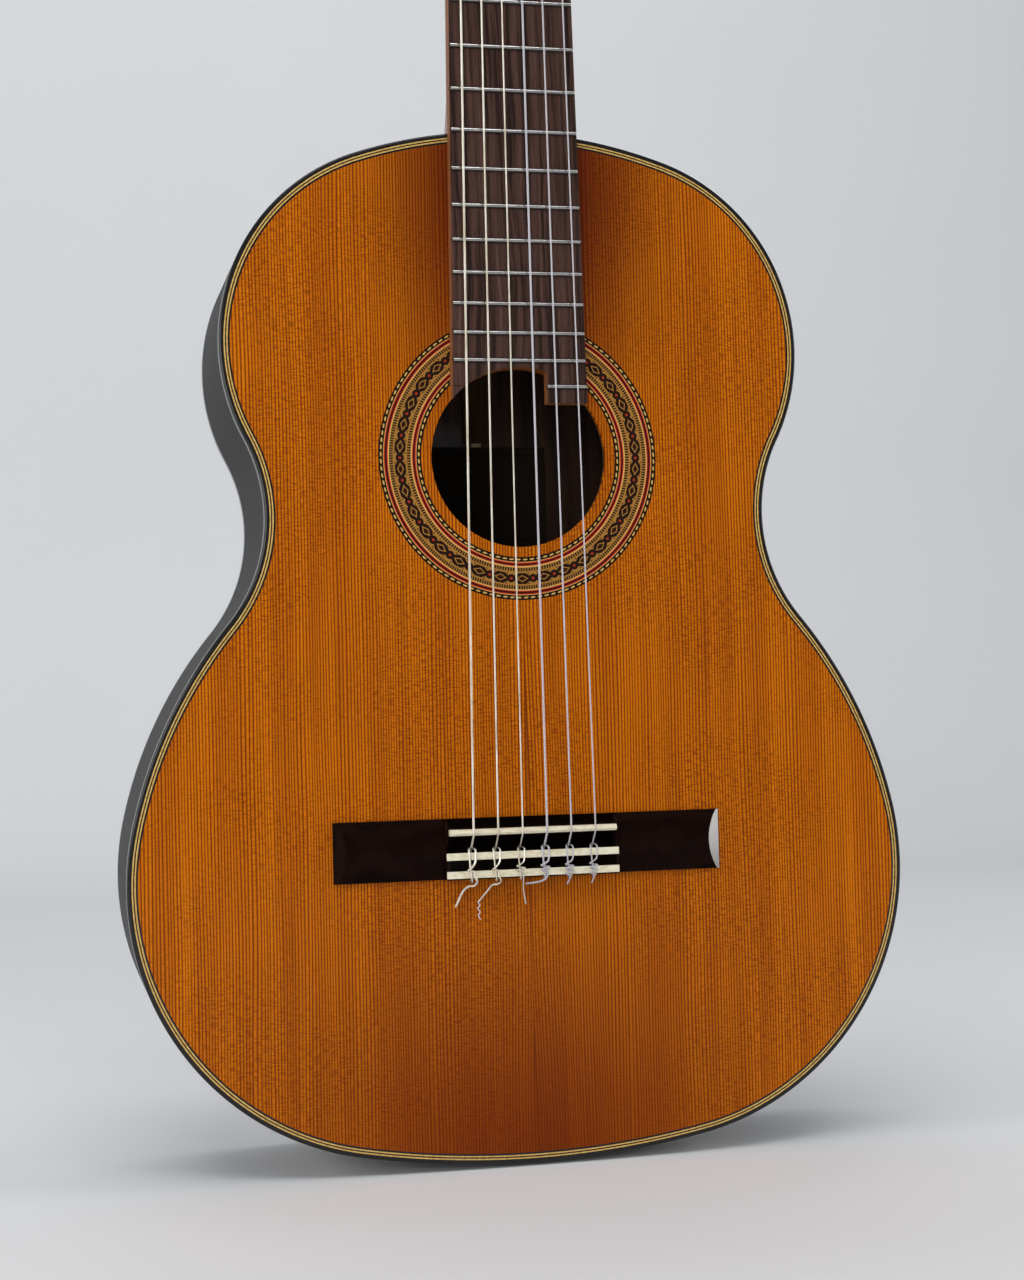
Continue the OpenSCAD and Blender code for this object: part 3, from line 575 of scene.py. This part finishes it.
M = {
    "cedar": material("cedar", cedar, coat=0.10, coat_rough=0.08, spec=0.05),
    "mosaic": material("rosette_mosaic", mosaic, coat=0.10, coat_rough=0.08, spec=0.05),
    "ribs": material("rosewood_ribs",
                     dark_wood((0.004, 0.0036, 0.0036), (0.010, 0.008, 0.007), (0.024, 0.016, 0.012),
                               0.5, "y", 0.5),
                     coat=0.05, coat_rough=0.12, spec=0.03),
    "back": material("rosewood_back",
                     dark_wood((0.014, 0.007, 0.005), (0.055, 0.022, 0.012), (0.115, 0.048, 0.022), 0.6, "x", 0.35),
                     coat=0.5, coat_rough=0.10, spec=0.3),
    "board": material("rosewood_fretboard", fretboard_wood, spec=0.12),
    "bridge": material("rosewood_bridge",
                       dark_wood((0.0030, 0.0010, 0.0006), (0.009, 0.0028, 0.0014), (0.030, 0.009, 0.0040),
                                 0.5, "y", 1.2),
                       coat=0.05, coat_rough=0.16, spec=0.02),
    # A lighter copy of the bridge's rosewood for the treble facet alone: painted highlight
    "bridge_painted_highlight": material("rosewood_bridge_painted_highlight",
                            dark_wood((0.010, 0.006, 0.006), (0.018, 0.010, 0.008), (0.030, 0.014, 0.010),
                                      0.4, "y", 1.2),
                            coat=1.0, coat_rough=0.10, spec=1.0),
    "head_veneer": material("rosewood_head_plate",
                            dark_wood((0.010, 0.004, 0.003), (0.040, 0.016, 0.009), (0.085, 0.036, 0.018),
                                      0.7, "x", 0.7),
                            coat=0.5, coat_rough=0.10, spec=0.3),
    "mahogany": material("mahogany",
                         dark_wood((0.085, 0.024, 0.008), (0.185, 0.058, 0.018), (0.27, 0.095, 0.032),
                                   0.8, "xy", 0.6),
                         coat=0.35, coat_rough=0.12, spec=0.3),
    # Nearly black, far darker than the wood's own colour: painted shade inside the body
    "inside": material("raw_mahogany_in_painted_shade",
                       dark_wood((0.003, 0.0014, 0.001), (0.006, 0.003, 0.0018), (0.010, 0.005, 0.003),
                                 0.8, "xy", 0.6),
                       spec=0.02),
    # Far darker than pale spruce: painted shade inside the body
    "spruce": material("spruce", pale_wood((0.070, 0.042, 0.020), (0.040, 0.023, 0.011)), spec=0.05),
    "strip": material("maple_strip", pale_wood((0.62, 0.45, 0.22), (0.42, 0.26, 0.10)), coat=0.5, coat_rough=0.1),
    "black": material("black_binding", gloss_black, coat=0.35, coat_rough=0.06, spec=0.2),
    "yellow": material("purfling_yellow", purfling_yellow, coat=0.15, coat_rough=0.12, spec=0.2),
    "bone": material("bone", bone, spec=0.4),
    "nickel": material("nickel_silver", fret_wire, metallic=1.0),
    "brass": material("brass", metal((0.62, 0.43, 0.18), (0.34, 0.22, 0.09), 0.20), metallic=1.0),
    "nylon": material("clear_nylon", nylon, transmission=0.35, ior=1.5),
    "wound": material("wound_wire", wound_wire, metallic=0.75),
    "floss": material("nylon_floss", nylon),
    "pearl": material("pearloid", pearloid, coat=0.5, coat_rough=0.08),
    "paper": material("label_paper_in_painted_shade", paper, spec=0.1),
}

# ---------------------------------------------------------------- CAD nodes that stay, with finished materials
KEPT = {
    "cedar": ("soundboard_bass_half", "soundboard_treble_half"),
    "mosaic": ("rosette",),
    "back": ("back_bass_half", "back_treble_half", "heel_cap"),
    "strip": ("back_centre_strip",),
    "black": ("tail_strip",),
    "spruce": ("sound_hole_patch", "fan_braces", "harmonic_bars", "back_braces", "back_seam_strip", "linings"),
    "mahogany": ("headstock",),
    "inside": ("end_blocks",),
    "paper": ("paper_label",),
    "head_veneer": ("head_plate",),
    "board": ("fingerboard",),
    "nickel": ("frets",),
    "bone": ("nut", "saddle", "tie_block_inlays") + tuple("roller_%d" % n for n in range(1, 7)),
    "brass": ("tuner_plate_bass", "tuner_plate_treble", "tuner_plate_screws")
             + tuple("worm_%d" % n for n in range(1, 7)) + tuple("gear_%d" % n for n in range(1, 7)),
}
for key, names in KEPT.items():
    for name in names:
        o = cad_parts[name]
        for s in o.material_slots:
            s.material = M[key]


# ---------------------------------------------------------------- body edges and ribs
def binding_profile(at, away):
    """A strip with a rounded outer corner; at is the depth of its face and away points inwards."""
    return [(0.0, at + away * BIND_H), (0.0, at + away * 1.1), (0.06, at + away * 0.72), (0.22, at + away * 0.36),
            (0.5, at + away * 0.12), (0.9, at + away * 0.01), (1.3, at), (RIB_T, at), (RIB_T, at + away * BIND_H)]


v, f = edge_ring(binding_profile(0, 1))
piece("top_binding_strip", v, f, M["black"], replaces=("top_binding",))
v, f = edge_ring(binding_profile(BODY_D, -1))
piece("back_binding_strip", v, f, M["black"], replaces=("back_binding",))

inset = RIB_T
for i, (width, key) in enumerate(((0.65, "yellow"), (0.60, "black"), (0.65, "yellow"), (0.90, "black"))):
    v, f = edge_ring([(inset, 0.0), (inset + width, 0.0), (inset + width, 1.6), (inset, 1.6)])
    piece("purfling_line_%d" % (i + 1), v, f, M[key], replaces=("top_purfling",) if i == 0 else ())
    inset += width

for side, name in ((-1, "rib_bass"), (1, "rib_treble")):
    v, f = edge_ring([(0.0, BIND_H), (0.0, BODY_D / 2), (0.0, BODY_D - BIND_H),
                      (RIB_T, BODY_D - BIND_H), (RIB_T, BIND_H)],
                     side, 6.0, 13.0)
    piece(name + "_bent", v, f, M["ribs"], replaces=(name,))


# ---------------------------------------------------------------- neck and heel
def power(a, e):
    return math.copysign(abs(a) ** e, a)


def board_half(z):
    return NUT_HALF + (HEEL_HALF - NUT_HALF) * min(z, 0) / JOINT_Z


# Along the neck: height, depth behind the fretboard, and how square the section is
NECK = ((JOINT_Z, 17.5, 0), (-160, 16.2, 0), (-30, 15, 0), (-18, 15.6, 0.2), (-9, 16.6, 0.5), (-2, 17.6, 0.8),
        (NUT_T, 18.47, 1))


def neck_at(z):
    for (z0, d0, s0), (z1, d1, s1) in zip(NECK, NECK[1:]):
        if z <= z1:
            t = max(0.0, (z - z0) / (z1 - z0))
            return d0 + (d1 - d0) * t, s0 + (s1 - s0) * t
    return NECK[-1][1:]


rings = []
z = JOINT_Z
while z <= NUT_T:
    depth, square = neck_at(z)
    e = 0.86 - 0.72 * square
    rings.append([(board_half(z) * power(math.cos(math.pi * k / 40), e),
                   max(0.0, depth * power(math.sin(math.pi * k / 40), e) if 0 < k < 40 else 0.0), z)
                  for k in range(41)])
    z += 10 if z < -50 else 1.25
v, f = loft(rings)
piece("neck_shaft_carved", v, f, M["mahogany"], replaces=("neck_shaft",), sharp=50)


def heel_ring(y):
    t = max(0.0, (y - 1) / (BODY_D - 1))
    half = (HEEL_HALF - 0.2) * (1 - 0.56 * t ** 1.15)
    reach = 15 + 62 * (1 - t) ** 5 + 12 * (1 - t)
    return ([(half, y, JOINT_Z)] + [(half * power(math.cos(math.pi * k / 40), 0.8), y,
                                    JOINT_Z + reach * power(math.sin(math.pi * k / 40), 0.8)) for k in range(1, 40)]
            + [(-half, y, JOINT_Z)])


v, f = loft([heel_ring(1 + (BODY_D - 4) * i / 40) for i in range(41)])
piece("heel_carved", v, f, M["mahogany"], replaces=("heel",), sharp=50)


# ---------------------------------------------------------------- bridge
def crown(z):
    return WING_CROWN - (WING_R - math.sqrt(WING_R ** 2 - (z - (BRIDGE_FRONT + BRIDGE_BACK) / 2) ** 2))


def wing(side):
    """The crowned wing runs out to a slanting facet, whose curved edge the mesh follows."""
    slope = math.tan(math.radians(31))
    rows = []
    for i in range(25):
        z = BRIDGE_BACK + BRIDGE_W * i / 24
        c = crown(z)
        brk = BRIDGE_L / 2 - (c - 1) / slope
        xs = [BRIDGE_MID / 2 - 0.5 + (brk - BRIDGE_MID / 2 + 0.5) * k / 6 for k in range(7)]
        row = [(side * x, -c, z) for x in xs] + [(side * BRIDGE_L / 2, -1.0, z)]
        rows.append([(side * xs[0], 0.0, z)] + row + [(side * BRIDGE_L / 2, 0.0, z)])
    n = len(rows[0])
    verts = [p for r in rows for p in r]
    faces = grid_faces(25, n)
    faces.append(tuple(range(n)))
    faces.append(tuple(24 * n + j for j in range(n - 1, -1, -1)))
    return verts, faces


def block(x0, x1, slot_here):
    """A straight length of the bridge's middle, as a profile that starts at its front edge."""
    top = [(BRIDGE_FRONT, 0.0), (BRIDGE_FRONT, 3.2), (BRIDGE_FRONT - 0.4, 3.7), (BRIDGE_FRONT - 3.4, 6.2),
           (BRIDGE_FRONT - 4.2, 6.6)]
    if slot_here:
        top += [(SADDLE_Z + SADDLE_T / 2, 6.6), (SADDLE_Z + SADDLE_T / 2, 3.0),
                (SADDLE_Z - SADDLE_T / 2, 3.0), (SADDLE_Z - SADDLE_T / 2, 6.6)]
    top += [(SADDLE_Z - 2.2, 6.6), (SADDLE_Z - 2.7, 6.3), (TIE_FRONT + 2.4, 4.0), (TIE_FRONT + 1.6, 3.8),
            (TIE_FRONT, 3.8),
            (TIE_FRONT, TIE_H - INLAY_T), (TIE_FRONT - INLAY_W, TIE_H - INLAY_T), (TIE_FRONT - INLAY_W, TIE_H),
            (TIE_BACK + INLAY_W, TIE_H), (TIE_BACK + INLAY_W, TIE_H - INLAY_T), (TIE_BACK, TIE_H - INLAY_T),
            (TIE_BACK - 0.1, 7.4), (BRIDGE_BACK, 6.8), (BRIDGE_BACK, 0.0)]
    return loft([[(x0, -y, z) for z, y in top], [(x1, -y, z) for z, y in top]])


half_mid, half_saddle = BRIDGE_MID / 2, SADDLE_LEN / 2
v, f = join([wing(-1), wing(1), block(-half_mid, -half_saddle, False), block(-half_saddle, half_saddle, True),
             block(half_saddle, half_mid, False)])
bridge = piece("bridge_carved", v, f, M["bridge"], replaces=("bridge",), sharp=20)
# The slanting facet at the treble end gets a lighter, glossier copy of the rosewood: a painted highlight where it
# catches the light
bridge.data.materials.append(M["bridge_painted_highlight"])
for face in bridge.data.polygons:
    if 0.3 < face.normal.x < 0.8 and face.center.x > BRIDGE_L * MM / 2 - 0.02:
        face.material_index = 1


# ---------------------------------------------------------------- strings
def saddle_x(i):
    return (i - 2.5) * SADDLE_SPREAD / 5


def nut_x(i):
    return (i - 2.5) * NUT_SPREAD / 5


def in_head(x, y, z):
    c, s = math.cos(HEAD_TILT), math.sin(HEAD_TILT)
    return (x, y * c + z * s, NUT_T - y * s + z * c)


def place(number):
    side = 1 if number <= 3 else -1
    return side, (number - 1 if number <= 3 else 6 - number)


LOOPS = {1: 3, 2: 3, 3: 2, 4: 2, 5: 1, 6: 1}
for number in range(1, 7):
    i = 6 - number
    side, k = place(number)
    r = STRING_R[number - 1]
    wound = number > 3
    look = M["wound"] if wound else M["nylon"]
    x, nx = saddle_x(i), nut_x(i)
    zk = FIRST_ROLLER + ROLLER_PITCH * k
    touch = in_head(side * WIND_X[k], ROLLER_Y - ROLLER_R - r - 0.1, zk - (1 if wound else 2.3))
    top = -SADDLE_TOP - r
    path = [(x, TIE_HOLE_Y, BRIDGE_BACK + 0.3), (x, TIE_HOLE_Y, TIE_FRONT - 0.3),
            (x, TIE_HOLE_Y - 0.15, TIE_FRONT + 0.7), (x, top + 0.45, SADDLE_Z - 1.5),
            (x, top + 0.06, SADDLE_Z - 0.6), (x, top, SADDLE_Z), (x, top + 0.01, SADDLE_Z + 1.2)]
    for t in range(1, 12):
        s = t / 12
        path.append((x + (nx - x) * s, top + (-NUT_H - r - 0.05 - top) * s,
                     SADDLE_Z + 1.2 + (0 - SADDLE_Z - 1.2) * s))
    path += [(nx, -NUT_H - r - 0.05, 0.0), (nx, -NUT_H - r + 0.1, 2.6), (nx, -NUT_H - r + 0.62, NUT_T)]
    path.append(tuple(touch))
    v, f = tube(path, r, 14)
    piece("string_%d" % number, v, f, look,
          replaces=("nylon_strings",) if number == 1 else (("wound_strings",) if number == 4 else ()))

    # The tie: out at the back of the block, over it, round the string in the valley and back over
    lean = -1.0
    over = -TIE_H - r - 0.05
    w = r * 2 + 0.25
    tie = [(x, TIE_HOLE_Y, BRIDGE_BACK + 0.4), (x, TIE_HOLE_Y, BRIDGE_BACK - 0.5 - r),
           (x + 0.1 * lean, -6.3, BRIDGE_BACK - 0.8 - r),
           (x + 0.5 * lean, over + 0.5, TIE_BACK - 0.2 - r), (x + 0.9 * lean, over - 0.1, TIE_BACK + 2.2),
           (x + 1.3 * lean, over - 0.1, (TIE_FRONT + TIE_BACK) / 2), (x + 1.6 * lean, over, TIE_FRONT - 1.0),
           (x + 1.7 * lean, over + 0.7, TIE_FRONT + 0.6 + r), (x + 1.2 * lean, -6.6, TIE_FRONT + 1.1 + r),
           (x, TIE_HOLE_Y + 1.0 - r, TIE_FRONT + 1.5 + r), (x - 1.1 * lean, -5.9, TIE_FRONT + 1.2 + r),
           (x - 1.5 * lean, over + 0.9, TIE_FRONT + 0.5 + r), (x - 1.3 * lean, over - 0.1, TIE_FRONT - 1.2),
           (x - 0.6 * lean, over - w * 0.9, (TIE_FRONT + TIE_BACK) / 2 + 1.0)]
    # It is tucked under its own first pass, once or more
    zz = (TIE_FRONT + TIE_BACK) / 2 + 1.0
    turns = LOOPS[number]
    for c in range(turns):
        zz -= 2.2 if turns > 1 else 3.2
        tie += [(x + 1.8 * lean, over - w * 1.1, zz + 0.6), (x + 2.5 * lean, over - w * 0.4, zz),
                (x + 1.2 * lean, over + 0.05, zz - 0.4), (x - 0.3 * lean, over - 0.1, zz - 0.6)]
        if c < turns - 1:
            tie += [(x - 1.2 * lean, over - w * 0.6, zz - 0.9), (x - 0.4 * lean, over - w * 1.2, zz - 1.2)]
    if number == 6:
        tie += [(x + 0.6, over - 0.5, TIE_BACK + 0.6), (x + 1.8, over + 0.2, TIE_BACK - 1.6),
                (x + 0.6, -7.2, BRIDGE_BACK - 2.9), (x - 1.8, -6.4, BRIDGE_BACK - 3.2),
                (x - 4.4, -5.2, BRIDGE_BACK - 5.6), (x - 7.6, -3.6, BRIDGE_BACK - 12.6)]
    elif number == 5:
        tie += [(x + 0.4, over - 0.4, TIE_BACK + 0.4), (x + 1.5, over + 0.3, TIE_BACK - 1.8),
                (x + 0.2, -7.0, BRIDGE_BACK - 2.6), (x - 2.2, -6.2, BRIDGE_BACK - 3.0),
                (x - 4.6, -5.0, BRIDGE_BACK - 6.0), (x - 8.6, -3.4, BRIDGE_BACK - 11.0)]
    elif number == 4:
        tie += [(x + 0.6, over + 0.4, TIE_BACK - 0.9), (x + 0.7, -7.6, BRIDGE_BACK - 2.2),
                (x + 1.0, -6.0, BRIDGE_BACK - 6.0),
                (x + 2.4, -4.0, BRIDGE_BACK - 12.4)]
    elif number == 3:
        tie += [(x + 0.2, over + 0.3, TIE_BACK - 0.8), (x - 1.8, -7.8, BRIDGE_BACK - 1.8),
                (x - 5.0, -6.9, BRIDGE_BACK - 2.6),
                (x - 9.4, -5.6, BRIDGE_BACK - 3.0)]
    else:
        tie += [(x + 0.2, over + 0.3, TIE_BACK - 0.6), (x - 0.3, -7.2, BRIDGE_BACK - 1.8),
                (x - 0.5 - number * 0.3, -5.6, BRIDGE_BACK - 4.0)]
    path = smooth_path(tie, 7)
    v, f = tube(path, r * 0.94, 10)
    piece("tie_%d" % number, v, f, look)
    if number == 5:
        # The wire has come off this string's end and left its kinked core
        tail = [(x - 8.6, -3.4, BRIDGE_BACK - 11.0), (x - 7.6, -3.0, BRIDGE_BACK - 12.4),
                (x - 8.6, -2.7, BRIDGE_BACK - 13.8), (x - 7.4, -2.3, BRIDGE_BACK - 15.4),
                (x - 8.2, -2.0, BRIDGE_BACK - 17.0), (x - 7.2, -1.6, BRIDGE_BACK - 19.0)]
        v, f = tube(smooth_path(tail, 5), r * 0.5, 8)
        piece("tie_5_core", v, f, M["floss"])

    # Turns on the roller, and the end that goes through it
    helix = []
    count = 4.25 if wound else 5.25
    steps = int(count * 20)
    for s in range(steps + 1):
        a = 2 * math.pi * s / 20
        hx = side * (WIND_X[k] + 1.0 + (2 * r + 0.06) * s / 20 * (1 if k == 0 else 0.9))
        helix.append(in_head(hx, ROLLER_Y - (ROLLER_R + r) * math.cos(a), zk + (ROLLER_R + r) * math.sin(a)))
    v, f = tube(helix, r, 10)
    v2, f2 = tube(smooth_path([in_head(side * WIND_X[k], ROLLER_Y + ROLLER_R + 2.4, zk + 1.2),
                               in_head(side * WIND_X[k], ROLLER_Y + ROLLER_R + 0.6, zk + 0.2),
                               in_head(side * WIND_X[k], ROLLER_Y, zk),
                               in_head(side * WIND_X[k], ROLLER_Y - ROLLER_R + 0.2, zk),
                               in_head(side * (WIND_X[k] + 0.5), ROLLER_Y - ROLLER_R - r, zk),
                               helix[0]], 6), r, 10)
    v, f = join([(v, f), (v2, f2)])
    piece("winding_%d" % number, v, f, look, body="roller_body_%d" % number)


# ---------------------------------------------------------------- tuner buttons
# A button along its axis: how far out, then half its width and half its thickness
PROFILE = ((0.0, 2.6, 2.6), (0.8, 3.0, 3.0), (2.0, 3.3, 3.1), (3.2, 4.6, 3.0), (4.6, 6.2, 3.2), (6.4, 7.0, 3.6),
           (8.6, 7.2, 3.9),
           (10.8, 7.0, 3.9), (12.8, 6.2, 3.5), (14.4, 4.8, 2.8), (15.5, 2.9, 1.8), (16.0, 0.6, 0.4))
for number in range(1, 7):
    side, k = place(number)
    zk = FIRST_ROLLER + ROLLER_PITCH * k + WORM_Z
    rings = []
    for t, a, b in PROFILE:
        rings.append([in_head(side * (WORM_X + a * power(math.cos(2 * math.pi * j / 32), 0.9)),
                              ROLLER_Y + SHAFT_END + t,
                              zk + b * power(math.sin(2 * math.pi * j / 32), 0.9)) for j in range(32)])
    v, f = loft(rings)
    piece("button_look_%d" % number, v, f, M["pearl"], body="worm_body_%d" % number,
          replaces=("button_%d" % number,), sharp=60)

# ---------------------------------------------------------------- floor, light and camera
FLOOR_Z = (TAIL_Z - 1.5) * MM
BACK_Y, NEAR_Y = 1.6, -6.0
BEND_R = 0.6
WALL_TOP = 4.5
FLOOR_HALF = 7.0
sweep = [(NEAR_Y, FLOOR_Z)]
for k in range(13):
    a = math.pi / 2 * k / 12
    sweep.append((BACK_Y + BEND_R * math.sin(a), FLOOR_Z + BEND_R * (1 - math.cos(a))))
sweep.append((BACK_Y + BEND_R, WALL_TOP))
verts = [(x, y, z) for y, z in sweep for x in (-FLOOR_HALF, FLOOR_HALF)]
me = bpy.data.meshes.new("studio_sweep")
me.from_pydata(verts, [], grid_faces(len(sweep), 2))
for poly in me.polygons:
    poly.use_smooth = True
floor = bpy.data.objects.new("studio_sweep", me)
bpy.context.scene.collection.objects.link(floor)


def backdrop():
    x, y, z = xyz()
    n = noise(vec(x * 0.002, y * 0.002, z * 0.002), 1.0, 2.0)
    return mix(n, (0.70, 0.71, 0.73), (0.74, 0.75, 0.76)), 0.85 + n * 0.05, None


me.materials.append(material("studio_paper", backdrop))


def lamp(name, where, aim, size, power_w, colour=(1, 1, 1)):
    d = bpy.data.lights.new(name, "AREA")
    d.shape = "RECTANGLE"
    d.size, d.size_y = size
    d.energy = power_w
    d.color = colour
    o = bpy.data.objects.new(name, d)
    bpy.context.scene.collection.objects.link(o)
    o.location = where
    o.rotation_euler = (Vector(aim) - Vector(where)).to_track_quat("-Z", "Y").to_euler()
    return o


lamp("side_left", (-2.2, -0.55, -0.2), (0, 0, -0.5), (1.0, 2.0), 32, (1.0, 0.98, 0.95))
lamp("side_right", (2.2, -0.45, -0.4), (0, 0, -0.5), (1.0, 2.0), 34, (1.0, 0.98, 0.95))
lamp("overhead", (-0.3, -1.5, 1.7), (0, 0, -0.5), (2.0, 1.0), 26)
lamp("low_front", (-0.9, -1.6, -0.3), (0, 0, -0.7), (0.6, 0.6), 7)
lamp("back_wash", (0, 1.2, 2.2), (0, 2.2, 0.0), (3.0, 0.8), 18)
world = bpy.data.worlds.new("studio")
world.use_nodes = True
world.node_tree.nodes["Background"].inputs[0].default_value = (0.80, 0.84, 0.90, 1)
world.node_tree.nodes["Background"].inputs[1].default_value = 0.30
bpy.context.scene.world = world
bpy.context.scene.view_settings.view_transform = "Standard"

# The camera stands low, a little to the bass side, and looks up very slightly
PITCH, YAW, ROLL = -0.0334, -0.2279, -0.0264
LENS = 59.17
STANDS_AT = (-0.22822, -0.95929, -0.59655)
cy, sy = math.cos(YAW), math.sin(YAW)
base = Matrix(((1, 0, 0), (0, 0, -1), (0, 1, 0))) @ Matrix(((cy, -sy, 0), (sy, cy, 0), (0, 0, 1))).transposed()
cx, sx = math.cos(PITCH), math.sin(PITCH)
cz, sz = math.cos(ROLL), math.sin(ROLL)
look = Matrix(((cz, -sz, 0), (sz, cz, 0), (0, 0, 1))) @ Matrix(((1, 0, 0), (0, cx, -sx), (0, sx, cx))) @ base
axes = Matrix((look[0], -look[1], -look[2])).transposed().to_4x4()
cam = bpy.data.cameras.new("camera")
cam.sensor_width = 36
cam.lens = LENS
cam.clip_end = 50
camera = bpy.data.objects.new("camera", cam)
bpy.context.scene.collection.objects.link(camera)
camera.matrix_world = Matrix.Translation(STANDS_AT) @ axes
bpy.context.scene.camera = camera
